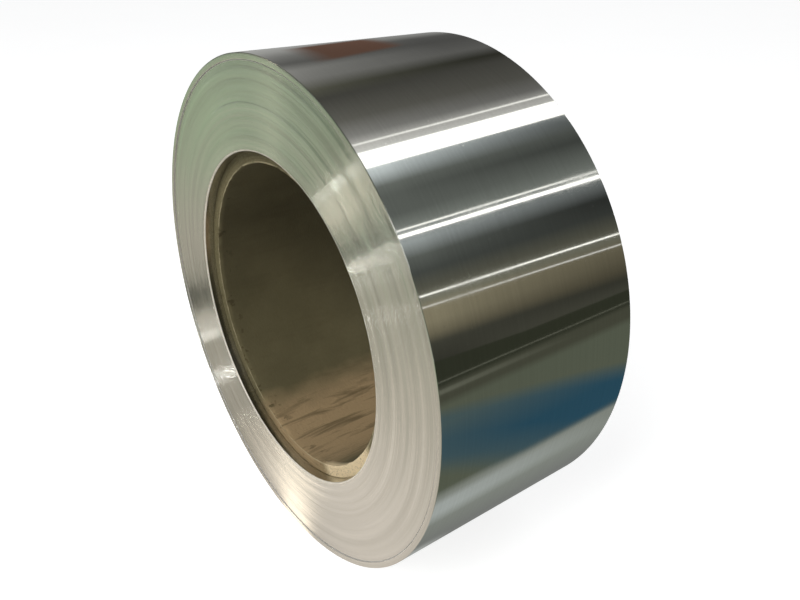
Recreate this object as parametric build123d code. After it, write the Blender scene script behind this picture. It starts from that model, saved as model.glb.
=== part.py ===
from build123d import *
import os

# Coil of thin bright steel strip wound on a cardboard core, lying on its rim.
# Frame: origin on the coil's axis, midway between its end faces, +X along the axis, +Z up.
# The end that faces -X is the front one. All sizes are in millimetres.

# Core, a thick-walled tube
core_outer_diameter = 330.0
core_wall = 12.5
core_recess = 11.0  # how far the core's ends sit inside the strip's edges
core_edge_chamfer = 0.8

# Strip
strip_width = 214.0
strip_thickness = 0.25
rim_chamfer = 0.4  # easing of the coil's two outermost corners
bore_lip_chamfer = 1.0  # the first turns are rolled over a little at the bore

# Turns, counted outwards from the core. The strip wandered sideways as it was wound, so the
# end faces show bundles of turns whose edges lie flush, stepped from one bundle to the next.
turns_in_bundle = (8, 34, 21, 40, 26, 45, 31, 48, 38, 27)
bundle_step = 0.3
steps_before_return = 3  # the strip steps back to its first place after so many bundles

# The last bundle stands out at the front, with a narrow gap under it
turns_in_last_bundle = 22
last_bundle_shift = 1.0
last_bundle_gap = 0.8
last_bundle_gap_depth = 2.5

core_outer_radius = core_outer_diameter / 2
core_length = strip_width - 2 * core_recess
wound_radius = core_outer_radius + sum(turns_in_bundle) * strip_thickness
coil_radius = wound_radius + turns_in_last_bundle * strip_thickness
# the last bundle's shift is shared out, to keep the origin midway between the end faces
first_bundle_middle = last_bundle_shift / 2
last_bundle_middle = -last_bundle_shift / 2


def ring_section(inner_radius, outer_radius, length, middle):
    """Half section of a ring: X along the axis, Y outwards from it."""
    mean_radius = (inner_radius + outer_radius) / 2
    return Pos(middle, mean_radius) * Rectangle(length, outer_radius - inner_radius)


def corners_at(section, radius):
    """The section's two corners at its inner or outer radius."""
    return [corner for corner in section.vertices() if abs(corner.Y - radius) < bundle_step / 10]


def bundle_sections():
    """The bundles from the core outwards, each one strip wide and stepped sideways."""
    inner_radius = core_outer_radius
    sections = []
    for index, turns in enumerate(turns_in_bundle):
        outer_radius = inner_radius + turns * strip_thickness
        middle = first_bundle_middle - bundle_step * (index % steps_before_return)
        section = ring_section(inner_radius, outer_radius, strip_width, middle)
        if index == 0:
            section = chamfer(corners_at(section, inner_radius), bore_lip_chamfer)
        sections.append(section)
        inner_radius = outer_radius
    return sections


def last_bundle_section():
    """The outermost turns, which stand out at the front."""
    section = ring_section(wound_radius, coil_radius, strip_width, last_bundle_middle)
    return chamfer(corners_at(section, coil_radius), rim_chamfer)


def gap_sections():
    """The gap under the last bundle, cut into each end from the last bundle's own edge."""
    gaps = []
    for side in (-1, 1):
        bottom = last_bundle_middle + side * (strip_width / 2 - last_bundle_gap_depth)
        depth = last_bundle_gap_depth + 2 * last_bundle_shift
        gap = ring_section(wound_radius - last_bundle_gap, wound_radius, depth, bottom + side * depth / 2)
        gaps.append(gap)
    return gaps


def steel_coil():
    """The wound strip as one turned solid with its bore."""
    section = Sketch() + bundle_sections() - gap_sections() + last_bundle_section()
    return revolve(section, Axis.X, 360)


def cardboard_core():
    """The tube that the strip is wound on, with eased ends."""
    inner_radius = core_outer_radius - core_wall
    section = ring_section(inner_radius, core_outer_radius, core_length, first_bundle_middle)
    eased = chamfer(section.vertices(), core_edge_chamfer)
    return revolve(eased, Axis.X, 360)


os.makedirs("parts", exist_ok=True)
export_step(steel_coil(), "parts/steel_coil.step")
export_step(cardboard_core(), "parts/cardboard_core.step")
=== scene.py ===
import math
import random

import bpy
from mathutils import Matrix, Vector, noise


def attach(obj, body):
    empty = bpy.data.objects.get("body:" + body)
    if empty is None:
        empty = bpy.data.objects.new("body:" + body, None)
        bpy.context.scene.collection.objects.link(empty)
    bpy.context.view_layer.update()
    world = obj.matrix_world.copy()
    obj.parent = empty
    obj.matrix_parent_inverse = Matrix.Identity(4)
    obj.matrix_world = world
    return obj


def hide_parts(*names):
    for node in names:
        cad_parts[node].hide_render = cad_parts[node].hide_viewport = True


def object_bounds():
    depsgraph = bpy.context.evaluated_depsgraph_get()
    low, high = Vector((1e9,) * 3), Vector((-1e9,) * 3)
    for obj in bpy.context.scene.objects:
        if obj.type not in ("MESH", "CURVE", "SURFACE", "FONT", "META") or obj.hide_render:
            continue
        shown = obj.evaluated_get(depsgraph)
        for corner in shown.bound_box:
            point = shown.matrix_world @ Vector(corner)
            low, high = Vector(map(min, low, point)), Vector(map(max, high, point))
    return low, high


# A coil of bright steel strip on a cardboard core: its fine shapes and materials, a studio and a camera

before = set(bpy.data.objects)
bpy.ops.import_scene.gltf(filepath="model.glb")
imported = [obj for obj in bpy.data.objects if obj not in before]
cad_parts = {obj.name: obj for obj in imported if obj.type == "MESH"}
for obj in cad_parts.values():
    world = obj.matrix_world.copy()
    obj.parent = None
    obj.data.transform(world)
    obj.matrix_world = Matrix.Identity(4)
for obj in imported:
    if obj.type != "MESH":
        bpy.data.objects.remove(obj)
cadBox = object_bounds()
mm = 0.001


# Shader wiring: a Wire is one socket that can be added and multiplied, a Paint is one node tree

class Wire:
    def __init__(self, paint, socket):
        self.paint = paint
        self.socket = socket

    def maths(self, operation, *values):
        return self.paint.node("ShaderNodeMath", {"operation": operation}, dict(enumerate(values)))

    def __add__(self, other):
        return self.maths("ADD", self, other)

    def __radd__(self, other):
        return self.maths("ADD", other, self)

    def __sub__(self, other):
        return self.maths("SUBTRACT", self, other)

    def __rsub__(self, other):
        return self.maths("SUBTRACT", other, self)

    def __mul__(self, other):
        return self.maths("MULTIPLY", self, other)

    def __rmul__(self, other):
        return self.maths("MULTIPLY", other, self)

    def __truediv__(self, other):
        return self.maths("DIVIDE", self, other)

    def __rtruediv__(self, other):
        return self.maths("DIVIDE", other, self)

    def __pow__(self, other):
        return self.maths("POWER", self, other)

    def __gt__(self, other):
        return self.maths("GREATER_THAN", self, other)

    def clamped(self):
        return self.paint.node("ShaderNodeClamp", {}, {"Value": self})


class Paint:
    def __init__(self, tree):
        self.tree = tree
        tree.nodes.clear()

    def node(self, kind, settings=None, sockets=None, out=0):
        made = self.tree.nodes.new(kind)
        for name, value in (settings or {}).items():
            if name == "stops":
                self.setStops(made.color_ramp, value)
            else:
                setattr(made, name, value)
        for name, value in (sockets or {}).items():
            if isinstance(value, Wire):
                self.tree.links.new(value.socket, made.inputs[name])
            else:
                made.inputs[name].default_value = value
        return Wire(self, made.outputs[out]) if len(made.outputs) else made

    def setStops(self, ramp, stops):
        while len(ramp.elements) > 1:
            ramp.elements.remove(ramp.elements[0])
        ramp.elements[0].position, ramp.elements[0].color = stops[0]
        for place, colour in stops[1:]:
            ramp.elements.new(place).color = colour

    def outputs(self, kind, names, sockets=None):
        made = self.node(kind, {}, sockets).socket.node
        return [Wire(self, made.outputs[name]) for name in names]

    def place(self):
        return self.node("ShaderNodeTexCoord", out="Object")

    def split(self, vector):
        return self.outputs("ShaderNodeSeparateXYZ", "XYZ", {"Vector": vector})

    def blend(self, factor, first, second):
        values = {"Factor": factor, 6: first, 7: second}  # 6 and 7 are the two colours
        return self.node("ShaderNodeMix", {"data_type": "RGBA"}, values, out=2)

    def spots(self, where, scale, detail=2.0, roughness=0.5, distortion=0.0):
        values = {"Vector": where, "Scale": scale, "Detail": detail, "Roughness": roughness,
                  "Distortion": distortion}
        return self.node("ShaderNodeTexNoise", {}, values)

    def ramp(self, factor, stops):
        return self.node("ShaderNodeValToRGB", {"stops": stops}, {"Fac": factor})

    def fade(self, value, low, high, bottom=0.0, top=1.0):
        values = {"Value": value, "From Min": low, "From Max": high, "To Min": bottom, "To Max": top}
        return self.node("ShaderNodeMapRange", {"clamp": True}, values)

    def window(self, value, start, full, fullEnd, end):
        return self.fade(value, start, full) * self.fade(value, fullEnd, end, 1.0, 0.0)

    def bump(self, height, strength, distance):
        values = {"Height": height, "Strength": strength, "Distance": distance}
        return self.node("ShaderNodeBump", {}, values)

    def principled(self, values):
        self.surface(self.node("ShaderNodeBsdfPrincipled", {}, values))

    def surface(self, shader):
        self.node("ShaderNodeOutputMaterial", {}, {"Surface": shader})


def grey(level):
    return (level, level, level, 1.0)


def opaque(tone):
    return tuple(tone) + (1.0,)


def material(name):
    made = bpy.data.materials.new(name)
    made.use_nodes = True
    return made, Paint(made.node_tree)


def addObject(name, mesh, *materials):
    made = bpy.data.objects.new(name, mesh)
    bpy.context.scene.collection.objects.link(made)
    for one in materials:
        mesh.materials.append(one)
    return made


# The camera stands before the front end, off to its -Y side, and looks down on the coil

camera = {
    "place": (-0.3908, -0.5772, 0.3463),
    "azimuth": -36.905,
    "elevation": 27.007,
    "lens": 33.36,
    "sensor": 36.0,
    "nearClip": 0.01,
}


def makeCamera():
    data = bpy.data.cameras.new("camera")
    data.sensor_width = camera["sensor"]
    data.lens = camera["lens"]
    data.clip_start = camera["nearClip"]
    made = bpy.data.objects.new("camera", data)
    bpy.context.scene.collection.objects.link(made)
    azimuth, elevation = math.radians(camera["azimuth"]), math.radians(camera["elevation"])
    back = Vector((math.sin(azimuth) * math.cos(elevation), -math.cos(azimuth) * math.cos(elevation),
                   math.sin(elevation)))
    made.location = camera["place"]
    made.rotation_euler = back.to_track_quat("Z", "Y").to_euler()
    bpy.context.scene.camera = made


makeCamera()
bpy.context.scene.view_settings.view_transform = "Standard"
print("camera placed")


# Floor, world and lamp

studio = {
    "floorColour": (0.62, 0.62, 0.615, 1.0),
    "floorClouds": grey(0.60),
    "cloudScale": 3.0,
    "floorRoughness": 0.9,
    "floorGloss": 0.1,
    "floorSize": 60.0,
    "floorGlow": 0.80,  # added for camera, glossy and transmission rays, to reach a white
    "worldColour": (0.95, 0.97, 1.0, 1.0),
    "worldStrength": 0.24,
    "keyPower": 90.0,
    "keySize": 1.8,
    "keyPlace": (-2.4, -0.7, 2.4),
}
floorHeight = cadBox[0].z
squareCorners = ((-1, -1), (1, -1), (1, 1), (-1, 1))


def flatMesh(name, corners):
    mesh = bpy.data.meshes.new(name)
    mesh.from_pydata(corners, [], [(0, 1, 2, 3)])
    return mesh


def levelSquare(name, half, height):
    return flatMesh(name, [(x * half, y * half, height) for x, y in squareCorners])


def makeFloor():
    made, paint = material("paleFloor")
    clouds = paint.spots(paint.place(), studio["cloudScale"])
    colour = paint.blend(paint.fade(clouds, 0.3, 0.7), studio["floorColour"], studio["floorClouds"])
    names = ("Is Camera Ray", "Is Glossy Ray", "Is Transmission Ray")
    cameraRay, glossyRay, throughRay = paint.outputs("ShaderNodeLightPath", names)
    seen = (cameraRay + glossyRay + throughRay).clamped()
    paint.principled({
        "Base Color": colour, "Roughness": studio["floorRoughness"],
        "Specular IOR Level": studio["floorGloss"], "Emission Strength": 1.0,
        "Emission Color": paint.blend(seen, grey(0.0), grey(studio["floorGlow"])),
    })
    addObject("floor", levelSquare("floor", studio["floorSize"] / 2, floorHeight), made)


def makeWorld():
    world = bpy.data.worlds.new("studio")
    world.use_nodes = True
    bpy.context.scene.world = world
    paint = Paint(world.node_tree)
    values = {"Color": studio["worldColour"], "Strength": studio["worldStrength"]}
    shade = paint.node("ShaderNodeBackground", {}, values)
    paint.node("ShaderNodeOutputWorld", {}, {"Surface": shade})


def makeKeyLamp():
    data = bpy.data.lights.new("key", "AREA")
    data.shape = "SQUARE"
    data.size = studio["keySize"]
    data.energy = studio["keyPower"]
    lamp = bpy.data.objects.new("key", data)
    bpy.context.scene.collection.objects.link(lamp)
    lamp.location = studio["keyPlace"]
    lamp.rotation_euler = Vector(studio["keyPlace"]).to_track_quat("Z", "Y").to_euler()
    lamp.visible_glossy = False


# Cards that only the polished steel sees: bright strips and dark boards, as a photographer stands
# them about a mirror. Angles are degrees round the coil's axis: 0 towards -Y, 90 up, 180 towards +Y.

cards = {
    "pivot": (2.0, 0.0, 0.0),  # the arch's own axis passes here, not quite along the coil's
    "direction": (1.0, 0.291, -0.215),
    "archRadius": 2.5,
    "archStart": -5.6,
    "archEnd": 4.0,
    "archStep": 2,  # degrees, about
    "nearEnd": -0.75,  # along the arch's axis, where a board's first tone holds
    "farEnd": 0.20,  # and where its second tone holds
    "reachPower": 0.6,  # below 1 the second tone comes in sooner
    "lean": (0.147, 0.111),  # the two ends move by so much per metre outwards and upwards
    "frontFrom": -1.8,  # where the boards give way to one plain tone, on the front end's side
    "frontTo": -2.1,
    "frontTone": (0.10, 0.105, 0.095),
    "boards": [  # angle, brightness near and far, and tint, from low to high
        (-9, 0.05, 0.09, "olive"), (-1, 0.07, 0.05, "olive"), (3, 0.19, 0.09, "tan"),
        (8, 0.29, 0.13, "tan"), (14, 0.31, 0.17, "tan"), (18, 0.26, 0.19, "olive"),
        (23, 0.13, 0.11, "olive"), (30, 0.09, 0.055, "green"), (37, 0.16, 0.035, "green"),
        (44, 0.52, 0.20, "blue"), (51, 0.28, 0.24, "green"), (57, 0.16, 0.17, "green"),
        (66, 0.16, 0.07, "green"), (71, 0.21, 0.11, "green"), (77, 0.78, 0.17, "blue"),
        (80, 0.95, 0.26, "blue"), (90, 0.85, 0.62, "white"), (97, 0.33, 0.19, "white"),
        (106, 0.16, 0.11, "grey"), (120, 0.08, 0.075, "grey"), (126, 0.12, 0.035, "olive"),
        (134, 0.28, 0.14, "white"), (142, 0.33, 0.11, "white"), (149, 0.14, 0.09, "white"),
        (158, 0.26, 0.10, "white"), (166, 0.40, 0.24, "white"), (184, 0.50, 0.32, "white"),
    ],
    "tints": {
        "olive": (1.0, 1.02, 0.80), "tan": (1.10, 1.0, 0.68), "green": (0.94, 1.05, 0.98),
        "blue": (0.92, 1.03, 1.06), "white": (1.0, 1.01, 0.98), "grey": (1.0, 1.0, 0.90),
    },
    "redSheet": {
        "angles": (149, 152, 172, 176),
        "along": (-0.60, -0.45, -0.05, 0.06),
        "slant": 8,  # degrees per metre
        "tone": (0.13, 0.075, 0.055),
    },
    "wallMargin": 0.6,  # how far the end walls reach past the arch
    "walls": {"frontWall": (-3.2, (0.10, 0.105, 0.095)), "backWall": (6.0, (0.45, 0.47, 0.44))},
    "stripStart": -1.9,
    "stripInset": 0.05,
    "strips": {  # lower and upper angle, brightness
        "ceilingPanel": (80.6, 88.6, 2.4),
        "ceilingEdge": (92.5, 93.3, 1.5),
        "upperTube": (46.5, 48.0, 3.2),
        "upperTubeTwin": (49.6, 50.2, 2.2),
        "lowerTube": (19.5, 20.0, 2.6),
        "lowerTubeTwin": (14.6, 15.0, 1.4),
    },
    "standing": {  # middle, which way it faces in degrees from +X towards +Y, width, height, glow, tint
        "frontWindow": ((-0.71, 1.86, 1.52), 129, 0.83, 0.97, 10.7, (1.0, 0.98, 0.76)),
        "lowReflector": ((-1.08, 0.90, -0.155), 38, 0.56, 0.19, 10.0, (1.0, 0.91, 0.77)),
        "nearWindow": ((-0.50, -1.03, 1.23), 87, 0.16, 1.00, 8.0, (0.95, 1.0, 0.97)),
        "broadTube": ((-2.74, -0.14, 0.63), -8, 0.18, 0.80, 12.0, (1.0, 1.0, 0.98)),
        # a glint is named for the ring angle where it makes a streak on the front end
        "glint222": ((-0.272, 0.313, -0.235), -44, 0.014, 0.014, 22.0, (1.0, 1.0, 0.98)),
        "glint208": ((-0.228, 0.418, -0.235), -63, 0.006, 0.006, 80.0, (1.0, 1.0, 0.96)),
        "glint205": ((-0.280, 0.452, -0.235), -57, 0.006, 0.006, 60.0, (1.0, 1.0, 0.96)),
        "glint239": ((-0.279, 0.229, -0.235), -36, 0.006, 0.006, 18.0, (1.0, 1.0, 0.90)),
        "glint38": ((-0.340, 0.083, 0.0), -47, 0.006, 0.006, 85.0, (1.0, 1.0, 0.92)),
        "glint55": ((-0.301, 0.116, 0.100), -50, 0.006, 0.006, 48.0, (1.0, 1.03, 1.0)),
    },
}


def glossOnly(thing):
    thing.visible_camera = False
    thing.visible_diffuse = False
    thing.visible_transmission = False
    thing.visible_volume_scatter = False
    thing.visible_shadow = False


def glow(name, brightness, tint):
    made, paint = material(name)
    values = {"Color": opaque(tint), "Strength": brightness}
    paint.surface(paint.node("ShaderNodeEmission", {}, values))
    return made


def archPoint(x, angle, radius):
    turn = math.radians(angle)
    return (x, -radius * math.cos(turn), radius * math.sin(turn))


# A strip of the arch between two angles, along the arch's own X from start to the arch's end
def archStrip(name, low, high, start, radius, made):
    steps = max(2, round((high - low) / cards["archStep"]))
    verts, faces = [], []
    for step in range(steps + 1):
        angle = low + (high - low) * step / steps
        verts += [archPoint(x, angle, radius) for x in (start, cards["archEnd"])]
        if step:
            corner = 2 * step
            faces.append((corner - 2, corner - 1, corner + 1, corner))
    mesh = bpy.data.meshes.new(name)
    mesh.from_pydata(verts, [], faces)
    card = addObject(name, mesh, made)
    card.rotation_euler = Vector(cards["direction"]).to_track_quat("X", "Z").to_euler()
    card.location = cards["pivot"]
    glossOnly(card)


def boardRamp(paint, factor, which):
    low, high = cards["boards"][0][0], cards["boards"][-1][0]
    stops = []
    for angle, near, far, tint in cards["boards"]:
        brightness = {"near": near, "far": far}[which]
        tone = opaque(brightness * part for part in cards["tints"][tint])
        stops.append(((angle - low) / (high - low), tone))
    return paint.ramp(factor, stops)


def makeArch():
    made, paint = material("archBoards")
    along, leftwards, up = paint.split(paint.place())
    across = leftwards * -1
    angle = up.maths("ARCTAN2", up, across) * math.degrees(1)
    low, high = cards["boards"][0][0], cards["boards"][-1][0]
    factor = paint.fade(angle, low, high)
    outwards, upwards = cards["lean"]
    along = along + across * outwards + up * upwards
    reach = paint.fade(along, cards["nearEnd"], cards["farEnd"]) ** cards["reachPower"]
    colour = paint.blend(reach, boardRamp(paint, factor, "near"), boardRamp(paint, factor, "far"))
    sheet = cards["redSheet"]
    onSheet = paint.window(angle - along * sheet["slant"], *sheet["angles"])
    onSheet = onSheet * paint.window(along, *sheet["along"])
    colour = paint.blend(onSheet, colour, opaque(sheet["tone"]))
    front = paint.fade(along, cards["frontFrom"], cards["frontTo"])
    colour = paint.blend(front, colour, opaque(cards["frontTone"]))
    paint.surface(paint.node("ShaderNodeEmission", {}, {"Color": colour}))
    archStrip("archBoards", low, high, cards["archStart"], cards["archRadius"], made)


def makeEndWalls():
    reach = cards["archRadius"] + cards["wallMargin"]
    for name, (x, tone) in cards["walls"].items():
        corners = [(x, -reach, floorHeight), (x, reach, floorHeight), (x, reach, reach),
                   (x, -reach, reach)]
        glossOnly(addObject(name, flatMesh(name, corners), glow(name, 1.0, tone)))


def makeStrips():
    radius = cards["archRadius"] - cards["stripInset"]
    for name, (low, high, brightness) in cards["strips"].items():
        made = glow(name, brightness, cards["tints"]["white"])
        archStrip(name, low, high, cards["stripStart"], radius, made)


def makeStandingCards():
    for name, (middle, facing, width, height, brightness, tint) in cards["standing"].items():
        turn = math.radians(facing)
        side = Vector((-math.sin(turn), math.cos(turn), 0)) * width / 2
        up = Vector((0, 0, height / 2))
        corners = [Vector(middle) + a * side + b * up for a, b in squareCorners]
        glossOnly(addObject(name, flatMesh(name, corners), glow(name, brightness, tint)))


# A card on the floor that only the steel sees. Distances are in metres from the coil's middle.

floorCard = {
    "lift": 0.0005,
    "half": 12.0,
    "contactShadow": (0.21, 0.22, 0.21),  # painted shadow beside and under the coil, and then the steps, outwards towards -Y
    "steps": [  # distance, softness, tone
        (0.21, 0.04, (0.31, 0.34, 0.31)), (0.325, 0.012, (0.13, 0.15, 0.11)),
        (0.90, 0.06, (0.085, 0.09, 0.065)), (1.28, 0.08, (0.04, 0.045, 0.03)),
    ],
    "patches": [  # window towards -Y, window along X, how the second slants with the first, tone
        # a window that starts with -9, -8 is open on its low side
        ((0.235, 0.265, 0.290, 0.310), (-9, -8, 0.02, 0.28), 0.0, (0.50, 0.55, 0.54)),
        ((0.305, 0.330, 2.0, 3.0), (0.22, 0.30, 0.56, 0.69), 0.45, (0.085, 0.135, 0.145)),
        ((0.305, 0.335, 0.42, 0.66), (0.24, 0.40, 0.56, 0.69), 0.45, (0.030, 0.095, 0.150)),
        ((1.06, 1.10, 1.17, 1.21), (-9, -8, 0.5, 0.9), 0.0, (0.17, 0.18, 0.14)),
        ((1.425, 1.44, 1.455, 1.47), (0.1, 0.3, 2.2, 2.6), 0.0, (0.24, 0.25, 0.20)),
        ((-9, -8, 0.15, 0.18), (-9, -8, -0.03, 0.01), 0.0, (0.42, 0.44, 0.42)),
    ],
    "frontSide": (-0.106, -0.100),  # along X, where the front end's own tones fade out
    "frontNear": (0.90, 0.83, 0.74),  # tones on the side of the front end, nearest first
    "frontMiddle": (0.64, 0.61, 0.51),
    "frontFar": (0.44, 0.57, 0.38),
    "frontReach": (0.19, 0.42, 0.90, 1.60),  # where the first tone ends, the next starts, and so on
    "slant": 2,  # metres along Y for one along X, of the edges of the dim and the glare
    "dim": (-0.16, -0.12),  # across the slant
    "dimEnd": (0.40, 0.50),  # along Y
    "dimTone": (0.50, 0.46, 0.38),
    "glare": (-0.265, -0.240, -0.205, -0.185),  # across the slant
    "glareEnd": -0.22,  # along X
    "glareTone": (2.3, 2.05, 1.7),
    "darkBoard": (0.535, 0.635),  # from and to along Y
    "darkEnd": -0.75,  # along X
    "darkTone": (0.04, 0.04, 0.035),
}


def frontTones(paint, along, across):
    def tone(name):
        return opaque(floorCard[name])

    distance = (along * along + across * across) ** 0.5
    first, second, third, fourth = floorCard["frontReach"]
    colour = paint.blend(paint.fade(distance, first, second), tone("frontNear"), tone("frontMiddle"))
    colour = paint.blend(paint.fade(distance, third, fourth), colour, tone("frontFar"))
    slant = across + along * floorCard["slant"]
    dim = paint.fade(slant, *floorCard["dim"]) * paint.fade(across, *floorCard["dimEnd"], 1.0, 0.0)
    colour = paint.blend(dim, colour, tone("dimTone"))
    glare = paint.window(slant, *floorCard["glare"]) * (along > floorCard["glareEnd"])
    colour = paint.blend(glare, colour, tone("glareTone"))
    boardFrom, boardTo = floorCard["darkBoard"]
    onBoard = (across > boardFrom) * (1 - (across > boardTo)) * (along > floorCard["darkEnd"])
    return paint.blend(onBoard, colour, tone("darkTone"))


def makeFloorCard():
    made, paint = material("floorCard")
    along, across, _ = paint.split(paint.place())
    away = across * -1
    # painted shadow: the card starts dark next to the coil, where the floor lies in its shadow
    colour = opaque(floorCard["contactShadow"])
    for edge, soft, tone in floorCard["steps"]:
        colour = paint.blend(paint.fade(away, edge - soft, edge + soft), colour, opaque(tone))
    for awayWindow, alongWindow, slant, tone in floorCard["patches"]:
        inside = paint.window(away, *awayWindow) * paint.window(along + away * slant, *alongWindow)
        colour = paint.blend(inside, colour, opaque(tone))
    front = paint.fade(along, *floorCard["frontSide"], 1.0, 0.0)
    colour = paint.blend(front, colour, frontTones(paint, along, across))
    paint.surface(paint.node("ShaderNodeEmission", {}, {"Color": colour}))
    mesh = levelSquare("floorCard", floorCard["half"], floorHeight + floorCard["lift"])
    glossOnly(addObject("floorCard", mesh, made))


makeFloor()
makeWorld()
makeKeyLamp()
makeArch()
makeEndWalls()
makeStrips()
makeStandingCards()
makeFloorCard()
print("floor, lamp and cards set")


# Turned meshes: their own Z is the coil's axis, which lies along the frame's X. -Z is the front
# end. A ring angle is in degrees round the axis: 0 towards -Y, 90 straight up, 180 towards +Y.

class Outline:
    def __init__(self):
        self.points = []  # along the axis, radius, material slot of the span that follows
        self.hard = []  # whether the edge at the point is hard
        self.notes = []  # what the shape function needs to know of the point

    def add(self, along, radius, slot, hard=False, note=None):
        self.points.append((along, radius, slot))
        self.hard.append(hard)
        self.notes.append(note)


def ringDirection(angle):
    turn = math.radians(angle)
    return -math.sin(turn), -math.cos(turn)


def turnedMesh(name, outline, sectors, shape):
    verts, faces, slots = [], [], []
    rings = len(outline.points)
    for (along, radius, _), note in zip(outline.points, outline.notes):
        for sector in range(sectors):
            angle = -360 * sector / sectors
            x, y = ringDirection(angle)
            z, r = shape(along, radius, angle, note)
            verts.append((r * x, r * y, z))
    for number in range(rings):
        following = (number + 1) % rings
        for sector in range(sectors):
            beside = (sector + 1) % sectors
            faces.append((number * sectors + sector, number * sectors + beside,
                          following * sectors + beside, following * sectors + sector))
            slots.append(outline.points[number][2])
    mesh = bpy.data.meshes.new(name)
    mesh.from_pydata(verts, [], faces)
    mesh.polygons.foreach_set("material_index", slots)
    mesh.polygons.foreach_set("use_smooth", [True] * len(faces))
    for edge in mesh.edges:
        first, second = (corner // sectors for corner in edge.vertices)
        edge.use_edge_sharp = first == second and outline.hard[first]
    mesh.update()
    return mesh


def laidAlongAxis(made):
    made.rotation_euler = (0, math.radians(90), 0)
    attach(made, "root")


# Smooth noise round the ring, from -1 to 1
def swell(angle, rate, seed):
    x, y = ringDirection(angle)
    return noise.noise(Vector((x * rate, y * rate, seed)))


# Where a shader is on the ring: x (straight down) and y as parts of the radius, z along the axis
def ringPlace(paint):
    x, y, z = paint.split(paint.place())
    radius = (x * x + y * y) ** 0.5
    return x / radius, y / radius, z, radius


# Noise stretched to the ring. Rates are its changes round the ring and per metre along the third
# direction, and then come its detail, roughness and distortion.
def ringSpots(paint, x, y, third, rates):
    around, across, *look = rates
    stretched = {"X": x * around, "Y": y * around, "Z": third * across}
    return paint.spots(paint.node("ShaderNodeCombineXYZ", {}, stretched), 1.0, *look)


# The wound strip

outerFace, turnEdges, boreFace, gapWall, boreLip = range(5)  # material slots

strip = {
    "coreRadius": 165.0 * mm,
    "thickness": 0.25 * mm,
    "width": 214.0 * mm,
    "bundles": (8, 34, 21, 40, 26, 45, 31, 48, 38, 27),  # turns whose edges lie flush
    "bundleStep": 0.2 * mm,  # sideways, a little less than the solid's
    "stepsBeforeReturn": 3,
    "lastTurns": 22,
    "lastShift": 1.0 * mm,
    "gapWidth": 1.0 * mm,
    "gapDepth": 1.4 * mm,
    "gapEase": 0.3 * mm,  # how far back the last bundle's edge starts at the gap
    "ridgeTurns": (8, 16),  # fewest and most turns that make one fine ridge
    "ridgeSetBack": 0.022 * mm,
    "slant": 0.014 * mm,  # how much deeper one edge of a ridge may sit than the other
    "ridgeSpread": 1.0 * mm,  # radial width over which one ridge passes into the next
    "bundleSpread": 3.5 * mm,  # and one bundle into the next
    "lastSpread": 0.4 * mm,  # and one ridge into the next in the last bundle
    "spreadMost": 0.8,  # the most of a ridge's own width that this takes
    "waver": 0.03 * mm,  # how far a ridge wanders along the axis as it goes round
    "waverLeast": 0.2,  # share of it that every ridge has
    "waverMiddle": 0.5,  # share of it that the ridge sits back at all angles
    "waverRate": 1.6,
    "waverSeedStep": 3.7,
    "lip": 1.4 * mm,
    # in lips: back from the end and outwards from the bore, with the slot of the span that follows
    "lipProfile": ((1.0, 0.0, boreLip), (0.35, 0.25, boreLip), (0.1, 1.0, turnEdges)),
    "lipEnd": 1.2,  # in lips, where the first ridge starts
    "rim": 0.3 * mm,
    # in rims: back from the end and inwards from the outer face
    "rimProfile": ((0.5, 0.3, turnEdges), (1.3, 0.0, outerFace)),
    "guard": 0.4 * mm,  # a narrow span beside each rounding, for even shading of the long face
    "sectors": 288,
    "seed": 11,
    # finish
    "steel": (0.63, 0.62, 0.59, 1.0),
    "darkSteel": (0.55, 0.54, 0.51, 1.0),
    "acrossTurns": 0.25,  # a quarter turn: the gloss spreads across the strip's own direction
    "rolledRoughness": 0.06,
    "rolledSpread": 0.5,  # how unevenly the gloss spreads, from 0 to 1
    "rollLines": (0.8, 500, 3.0),  # rates for ringSpots, as the buckles, lines, arcs and bands are
    "rollLineShare": 0.35,
    "haze": (9.0, 5.0, 0.6),  # scale, detail, roughness
    "hazeRoughness": 0.06,
    "dustScale": 90.0,
    "dustSize": (0.04, 0.07),
    "dustTone": grey(0.5),
    "dustShare": 0.15,
    "dustRoughness": 0.15,
    "buckles": (1.5, 5, 1.0),
    "buckleStrength": 0.1,
    "buckleDepth": 2.0 * mm,
    "edgeRoughness": 0.24,
    "edgeUneven": 0.05,
    "edgeSpread": 1.0,
    "edgeDepth": 0.4 * mm,  # of the fine rings that the turns' edges make
    "edgeLines": (0.6, 900, 2.0),
    "edgeArcs": (2, 300, 1.0),
    "edgeArcShare": 0.5,
    "edgeBands": (0.8, 160, 2.0),
    "boreRoughness": 0.14,
    "boreUneven": 0.05,
    "boreSpread": 0.8,
    "boreHaze": (30.0, 4.0),
    # painted highlight: the lip is coloured lighter than the steel faces, to show a bright line at the
    # bore's edge
    "lipHighlightTones": ((0.90, 0.84, 0.75, 1.0), (0.70, 0.66, 0.58, 1.0)),
    "lipRoughness": 0.4,
    "lipMetal": 0.35,
    "lipHaze": (50.0, 3.0),
    "gapTones": ((0.52, 0.51, 0.48, 1.0), (0.62, 0.60, 0.57, 1.0)),
    "gapRoughness": 0.5,
    "gapMetal": 0.3,
    "gapStain": (60.0, 3.0),
}


def steelShader(paint, colour, roughness, spread, **more):
    paint.principled({"Base Color": colour, "Roughness": roughness, "Metallic": 1.0,
                      "Anisotropic": spread, "Anisotropic Rotation": strip["acrossTurns"], **more})


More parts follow.
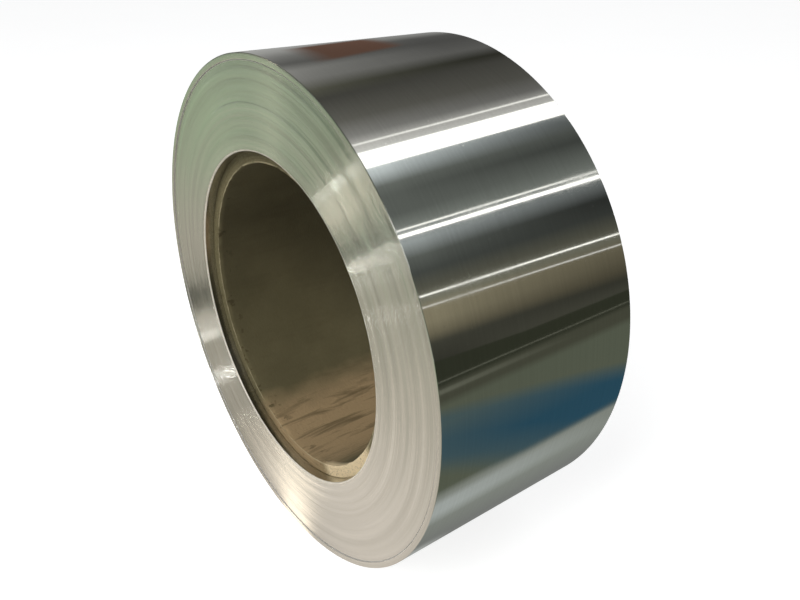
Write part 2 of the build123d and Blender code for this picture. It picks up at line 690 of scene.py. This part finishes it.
def rolledFace():
    made, paint = material("rolledFace")
    x, y, z, _ = ringPlace(paint)
    lines = ringSpots(paint, x, y, z, strip["rollLines"])
    haze = paint.spots(paint.place(), *strip["haze"])
    values = {"Vector": paint.place(), "Scale": strip["dustScale"]}
    speck = paint.node("ShaderNodeTexVoronoi", {"feature": "F1"}, values)
    dust = paint.fade(speck, *strip["dustSize"], 1.0, 0.0)
    lined = paint.fade(lines, 0.35, 0.65) * strip["rollLineShare"]
    tone = paint.blend(lined, strip["steel"], strip["darkSteel"])
    tone = paint.blend(dust * strip["dustShare"], tone, strip["dustTone"])
    rough = strip["rolledRoughness"] + paint.fade(haze, 0.5, 0.8) * strip["hazeRoughness"]
    rough = rough + dust * strip["dustRoughness"]
    height = ringSpots(paint, x, y, z, strip["buckles"])
    bump = paint.bump(height, strip["buckleStrength"], strip["buckleDepth"])
    steelShader(paint, tone, rough, strip["rolledSpread"], Normal=bump)
    return made


def slitEdges():
    made, paint = material("slitEdges")
    x, y, _, radius = ringPlace(paint)
    fine = ringSpots(paint, x, y, radius, strip["edgeLines"])
    arcs = ringSpots(paint, x, y, radius, strip["edgeArcs"])
    wide = paint.fade(ringSpots(paint, x, y, radius, strip["edgeBands"]), 0.3, 0.7)
    tone = paint.blend(wide, strip["steel"], strip["darkSteel"])
    rough = strip["edgeRoughness"] + (wide - 0.5) * strip["edgeUneven"]
    bump = paint.bump(fine + arcs * strip["edgeArcShare"], 1.0, strip["edgeDepth"])
    steelShader(paint, tone, rough, strip["edgeSpread"], Normal=bump)
    return made


def boreSteel():
    made, paint = material("boreSteel")
    haze = paint.spots(paint.place(), *strip["boreHaze"])
    tone = paint.blend(paint.fade(haze, 0.35, 0.7), strip["steel"], strip["darkSteel"])
    steelShader(paint, tone, strip["boreRoughness"] + haze * strip["boreUneven"], strip["boreSpread"])
    return made


def gapShade():
    made, paint = material("gapShade")
    stain = paint.spots(paint.place(), *strip["gapStain"])
    tone = paint.blend(stain, *strip["gapTones"])
    paint.principled({"Base Color": tone, "Roughness": strip["gapRoughness"],
                      "Metallic": strip["gapMetal"]})
    return made


# painted highlight: the bore lip's lighter tones make a bright line along its edge
def lipSteel():
    made, paint = material("lipSteel")
    haze = paint.spots(paint.place(), *strip["lipHaze"])
    tone = paint.blend(paint.fade(haze, 0.35, 0.7), *strip["lipHighlightTones"])
    paint.principled({"Base Color": tone, "Roughness": strip["lipRoughness"],
                      "Metallic": strip["lipMetal"]})
    return made


# Inner and outer radius of each bundle, and where its end lies along the axis
def bundlePlanes(side):
    planes = []
    radius = strip["coreRadius"]
    for index, turns in enumerate(strip["bundles"]):
        middle = strip["lastShift"] / 2 - strip["bundleStep"] * (index % strip["stepsBeforeReturn"])
        outer = radius + turns * strip["thickness"]
        planes.append((radius, outer, middle + side * strip["width"] / 2))
        radius = outer
    return planes


def ridges(inner, outer, chance):
    edges = [inner]
    while outer - edges[-1] > strip["ridgeTurns"][1] * strip["thickness"]:
        edges.append(edges[-1] + chance.randint(*strip["ridgeTurns"]) * strip["thickness"])
    return list(zip(edges, edges[1:] + [outer]))


def ridgePoints(inner, outer, plane, side, spread, chance):
    back = chance.uniform(0, strip["ridgeSetBack"])
    lean = chance.uniform(-1, 1) * strip["slant"]
    waver = chance.uniform(strip["waverLeast"], 1) * strip["waver"]
    start = inner + min(spread, (outer - inner) * strip["spreadMost"])
    return [[plane - side * (back + max(lean, 0)), start, turnEdges, False, -side * waver],
            [plane - side * (back + max(-lean, 0)), outer, turnEdges, False, -side * waver]]


# One end of the coil from the bore outwards: along, radius, slot, hard edge, waver
def endPoints(side, chance):
    planes = bundlePlanes(side)
    firstPlane, bore, lip = planes[0][2], strip["coreRadius"], strip["lip"]
    points = [[firstPlane - side * (lip + strip["guard"]), bore, boreFace, False, 0]]
    for back, out, slot in strip["lipProfile"]:
        points.append([firstPlane - side * lip * back, bore + lip * out, slot, False, 0])
    for index, (inner, outer, plane) in enumerate(planes):
        if index == 0:
            inner += lip * strip["lipEnd"]
        if index == len(planes) - 1:
            outer -= strip["gapWidth"]
        for first, last in ridges(inner, outer, chance):
            spread = strip["bundleSpread" if first == inner else "ridgeSpread"]
            points += ridgePoints(first, last, plane, side, spread, chance)
    points[-1][2:4] = gapWall, True
    wound = planes[-1][1]
    lastPlane = -strip["lastShift"] / 2 + side * strip["width"] / 2
    gapFloor = lastPlane - side * strip["gapDepth"]
    points.append([gapFloor, wound - strip["gapWidth"], gapWall, True, 0])
    points.append([gapFloor, wound, gapWall, True, 0])
    points.append([lastPlane - side * strip["gapEase"], wound, turnEdges, True, 0])
    rim = strip["rim"]
    coilRadius = wound + strip["lastTurns"] * strip["thickness"]
    for first, last in ridges(wound, coilRadius - rim, chance):
        points += ridgePoints(first, last, lastPlane, side, strip["lastSpread"], chance)
    for back, down, slot in strip["rimProfile"]:
        points.append([lastPlane - side * rim * back, coilRadius - rim * down, slot, False, 0])
    guard = rim * strip["rimProfile"][-1][0] + strip["guard"]
    points.append([lastPlane - side * guard, coilRadius, outerFace, False, 0])
    return points


def stripPoint(along, radius, angle, note):
    waver, number = note
    seed = (number // 2) * strip["waverSeedStep"]
    return along + waver * (strip["waverMiddle"] + swell(angle, strip["waverRate"], seed)), radius


def makeStrip():
    chance = random.Random(strip["seed"])
    outline = Outline()
    front = endPoints(-1, chance)
    back = endPoints(1, chance)
    for along, radius, slot, hard, waver in front:
        outline.add(along, radius, slot, hard, (waver, len(outline.points)))
    slots = [boreFace] + [point[2] for point in back]  # inwards, a span belongs to its inner point
    for (along, radius, _, hard, waver), slot in reversed(list(zip(back, slots))):
        outline.add(along, radius, slot, hard, (waver, len(outline.points)))
    mesh = turnedMesh("wound_strip", outline, strip["sectors"], stripPoint)
    made = addObject("wound_strip", mesh, rolledFace(), slitEdges(), boreSteel(), gapShade(), lipSteel())
    laidAlongAxis(made)
    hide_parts("steel_coil")
    print("wound strip:", len(mesh.polygons) * 2, "triangles")


makeStrip()


# The cardboard core: a thick tube wound from plies, with a ragged cut at both ends

boardFaces, cutEnds = range(2)  # material slots

core = {
    "outer": 164.95 * mm,
    "wall": 12.45 * mm,
    "front": -95.5 * mm,
    "back": 96.5 * mm,
    "ease": 0.25 * mm,
    "plies": 7,
    "plyDip": 0.12 * mm,  # every second ply sits so much deeper
    "seeds": {"front": (3.1, 30), "back": (2.3, 0)},  # step from ply to ply, and start
    "dent": 0.7 * mm,  # slow waves of the inside
    "dentRate": 2.2,
    "dentAlong": 14,
    "fuzz": 0.45 * mm,  # of the cut ends, more towards the bore
    "fuzzLeast": 0.25,
    "fuzzRate": 34,
    "fineFuzzRate": 80,
    "fineFuzzShare": 0.6,
    "fineFuzzSeed": 5,  # added to a ply's own seed
    "notch": 9.0 * mm,  # little bites out of the inner corner
    "notchRate": 15,
    "notchSeed": 40.5,
    "notchFrom": 0.28,
    "notchPlies": 0.6,  # share of the wall that has none
    "notchBack": 0.5,
    "tornFrom": 292.0,  # ring angles of the frayed stretch at the front
    "tornTo": 332.0,
    "tornLift": 2.6 * mm,  # how far its plies stand out
    "tornGap": 1.5 * mm,  # how far its outer plies shrink away from the steel
    "frayRate": 26,
    "fraySeed": 1.7,  # times a ply's own seed
    "frayRange": (0.4, 0.9),  # least, and what noise adds
    "frayInwards": 0.5,
    "sectors": 480,
    "outerSteps": 8,
    "innerSteps": 36,
    # finish
    "kraft": (0.108, 0.093, 0.047, 1.0),
    "dark": (0.060, 0.045, 0.020, 1.0),
    "worn": (0.142, 0.122, 0.063, 1.0),
    "paintedLitTone": (0.36, 0.255, 0.135, 1.0),  # painted light: the lower side, coloured lighter as if lit from above
    "cut": (0.21, 0.18, 0.095, 1.0),
    "corner": (0.42, 0.36, 0.22, 1.0),  # the thin worn line at the core's inner corner
    "torn": (0.80, 0.64, 0.40, 1.0),
    "roughness": 0.85,
    "gloss": 0.25,
    "bump": 0.6,
    "boardDepth": 0.4 * mm,
    "cutDepth": 0.6 * mm,
    "lowerFrom": 0.83,  # share of the radius below the axis where the painted lit side starts
    "lowerTo": 0.97,
    "lowerUneven": 0.2,
    "tornUneven": 0.04,
    "tornEdge": (0.01, 0.02),  # softness of its two sides, in cosines of the ring angle
    "tornReach": (3 * mm, 9 * mm),  # from the front, where its tone fades out inside the bore
    "tornInside": 0.7,  # share of its tone there
    "fleckReach": (2 * mm, 22 * mm),
    "fleckShare": 0.8,
    "fibreShare": 0.2,
    "streakShare": (0.12, 0.5),  # everywhere, and more on the lower side
    "cornerWidth": 1.0 * mm,
    "cornerShare": 0.8,
    "cutPlyShare": 0.3,
    "cutFleckShare": 0.7,
    "fibres": (40, 900, 4.0, 0.6),  # rates for ringSpots from here on
    "clouds": (1.6, 9, 4.0, 0.6),
    "streaks": (16, 14, 4.0, 0.6, 0.6),
    "flecks": (15, 90, 3.0, 0.6),
    "cutFibres": (90, 700, 4.0, 0.6),
    "cutPlies": (3, 900, 1.0),
    "cutClouds": (5, 40, 3.0, 0.6),
    "cutFlecks": (24, 160, 2.0, 0.6),
}


def boardShader(paint, colour, height, depth):
    bump = paint.bump(height, core["bump"], depth)
    paint.principled({"Base Color": colour, "Roughness": core["roughness"],
                      "Specular IOR Level": core["gloss"], "Normal": bump})


# painted light: mask of the lower side, which is coloured lighter as if light fell there
def lowerSide(paint, down, clouds):
    uneven = down + (clouds - 0.5) * core["lowerUneven"]
    return paint.fade(uneven, core["lowerFrom"], core["lowerTo"])


def tornSide(paint, x, y, fibres):
    across, outwards = ringDirection((core["tornFrom"] + core["tornTo"]) / 2)
    facing = x * across + y * outwards + (fibres - 0.5) * core["tornUneven"]
    edge = math.cos(math.radians((core["tornTo"] - core["tornFrom"]) / 2))
    before, past = core["tornEdge"]
    return paint.fade(facing, edge - before, edge + past)


def nearFront(paint, z, reach):
    return paint.fade(z, core["front"] + reach[0], core["front"] + reach[1], 1.0, 0.0)


def kraftBoard():
    made, paint = material("kraftBoard")
    x, y, z, _ = ringPlace(paint)
    fibres = ringSpots(paint, x, y, z, core["fibres"])
    clouds = ringSpots(paint, x, y, z, core["clouds"])
    streaks = ringSpots(paint, x, y, z, core["streaks"])
    flecks = ringSpots(paint, x, y, z, core["flecks"])
    lower = lowerSide(paint, x, clouds)
    tone = paint.blend(paint.fade(clouds, 0.35, 0.65), core["kraft"], core["worn"])
    # painted light: the lower side takes a lighter tone, as if lit
    tone = paint.blend(lower, tone, core["paintedLitTone"])
    everywhere, below = core["streakShare"]
    streaked = paint.fade(streaks, 0.52, 0.68) * (everywhere + lower * below)
    tone = paint.blend(streaked, tone, core["dark"])
    flecked = paint.fade(flecks, 0.60, 0.65) * nearFront(paint, z, core["fleckReach"])
    tone = paint.blend(flecked * core["fleckShare"], tone, core["dark"])
    tone = paint.blend(paint.fade(fibres, 0.3, 0.7) * core["fibreShare"], tone, core["dark"])
    torn = tornSide(paint, x, y, fibres) * nearFront(paint, z, core["tornReach"])
    tone = paint.blend(torn * core["tornInside"], tone, core["torn"])
    boardShader(paint, tone, fibres, core["boardDepth"])
    return made


def cutBoard():
    made, paint = material("cutBoard")
    x, y, _, radius = ringPlace(paint)
    fibres = ringSpots(paint, x, y, radius, core["cutFibres"])
    plies = ringSpots(paint, x, y, radius, core["cutPlies"])
    clouds = ringSpots(paint, x, y, radius, core["cutClouds"])
    flecks = ringSpots(paint, x, y, radius, core["cutFlecks"])
    tone = paint.blend(paint.fade(fibres, 0.3, 0.7), core["cut"], core["kraft"])
    # painted light: the cut ends' lower side takes the same lighter tone, as if lit
    tone = paint.blend(lowerSide(paint, x, clouds), tone, core["paintedLitTone"])
    tone = paint.blend(paint.fade(plies, 0.50, 0.62) * core["cutPlyShare"], tone, core["dark"])
    tone = paint.blend(paint.fade(flecks, 0.64, 0.70) * core["cutFleckShare"], tone, core["dark"])
    inner, width = core["outer"] - core["wall"], core["cornerWidth"]
    corner = paint.fade(radius, inner + width, inner + 2 * width, 1.0, 0.0)
    corner = corner * paint.fade(clouds, 0.3, 0.6) * core["cornerShare"]
    tone = paint.blend(corner, tone, core["corner"])
    torn = tornSide(paint, x, y, fibres) * paint.fade(fibres, 0.2, 0.5)
    tone = paint.blend(torn, tone, core["torn"])
    boardShader(paint, tone, fibres, core["cutDepth"])
    return made


def tornShare(angle):
    middle = (core["tornFrom"] + core["tornTo"]) / 2
    half = (core["tornTo"] - core["tornFrom"]) / 2
    return max(0.0, 1 - ((angle % 360 - middle) / half) ** 2)


# Depth runs through the wall, from 0 outside to 1 at the bore
def corePoint(along, radius, angle, note):
    kind, depth, seed = note
    if kind == "outside":
        return along, radius
    if kind == "inside":
        return along, radius + swell(angle, core["dentRate"], along * core["dentAlong"]) * core["dent"]
    side = -1 if kind == "front" else 1
    torn = tornShare(angle) if kind == "front" else 0.0
    rough = swell(angle, core["fuzzRate"], seed)
    rough += core["fineFuzzShare"] * swell(angle, core["fineFuzzRate"], seed + core["fineFuzzSeed"])
    least, more = core["frayRange"]
    loose = least + more * abs(swell(angle, core["frayRate"], seed * core["fraySeed"]))
    fray = torn * loose * core["tornLift"] * depth
    bite = max(0.0, swell(angle, core["notchRate"], core["notchSeed"] + side) - core["notchFrom"])
    notch = bite * core["notch"] * max(0.0, depth - core["notchPlies"])
    outward = rough * core["fuzz"] * (core["fuzzLeast"] + depth) + fray
    shift = torn * (1 - depth) * core["tornGap"]
    return (along + side * (outward - notch * core["notchBack"]),
            radius + notch - shift - fray * core["frayInwards"])


def addCutEnd(outline, kind, plies):
    side = -1 if kind == "front" else 1
    seedStep, seedStart = core["seeds"][kind]
    for ply in plies:
        depth = ply / core["plies"]
        radius = core["outer"] - core["ease"] - (core["wall"] - 2 * core["ease"]) * depth
        dip = core["plyDip"] * (ply % 2)
        note = (kind, depth, ply * seedStep + seedStart)
        outline.add(core[kind] - side * dip, radius, cutEnds, note=note)


def makeCore():
    outline = Outline()
    outer, inner = core["outer"], core["outer"] - core["wall"]
    start, end = core["front"] + core["ease"], core["back"] - core["ease"]
    for step in range(core["outerSteps"] + 1):
        along = start + (end - start) * step / core["outerSteps"]
        outline.add(along, outer, boardFaces, note=("outside", 0, 0))
    addCutEnd(outline, "back", range(core["plies"] + 1))
    for step in range(core["innerSteps"] + 1):
        along = end - (end - start) * step / core["innerSteps"]
        outline.add(along, inner, boardFaces, note=("inside", 0, 0))
    addCutEnd(outline, "front", reversed(range(core["plies"] + 1)))
    mesh = turnedMesh("core_tube", outline, core["sectors"], corePoint)
    made = addObject("core_tube", mesh, kraftBoard(), cutBoard())
    laidAlongAxis(made)
    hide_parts("cardboard_core")
    print("core tube:", len(mesh.polygons) * 2, "triangles")


makeCore()
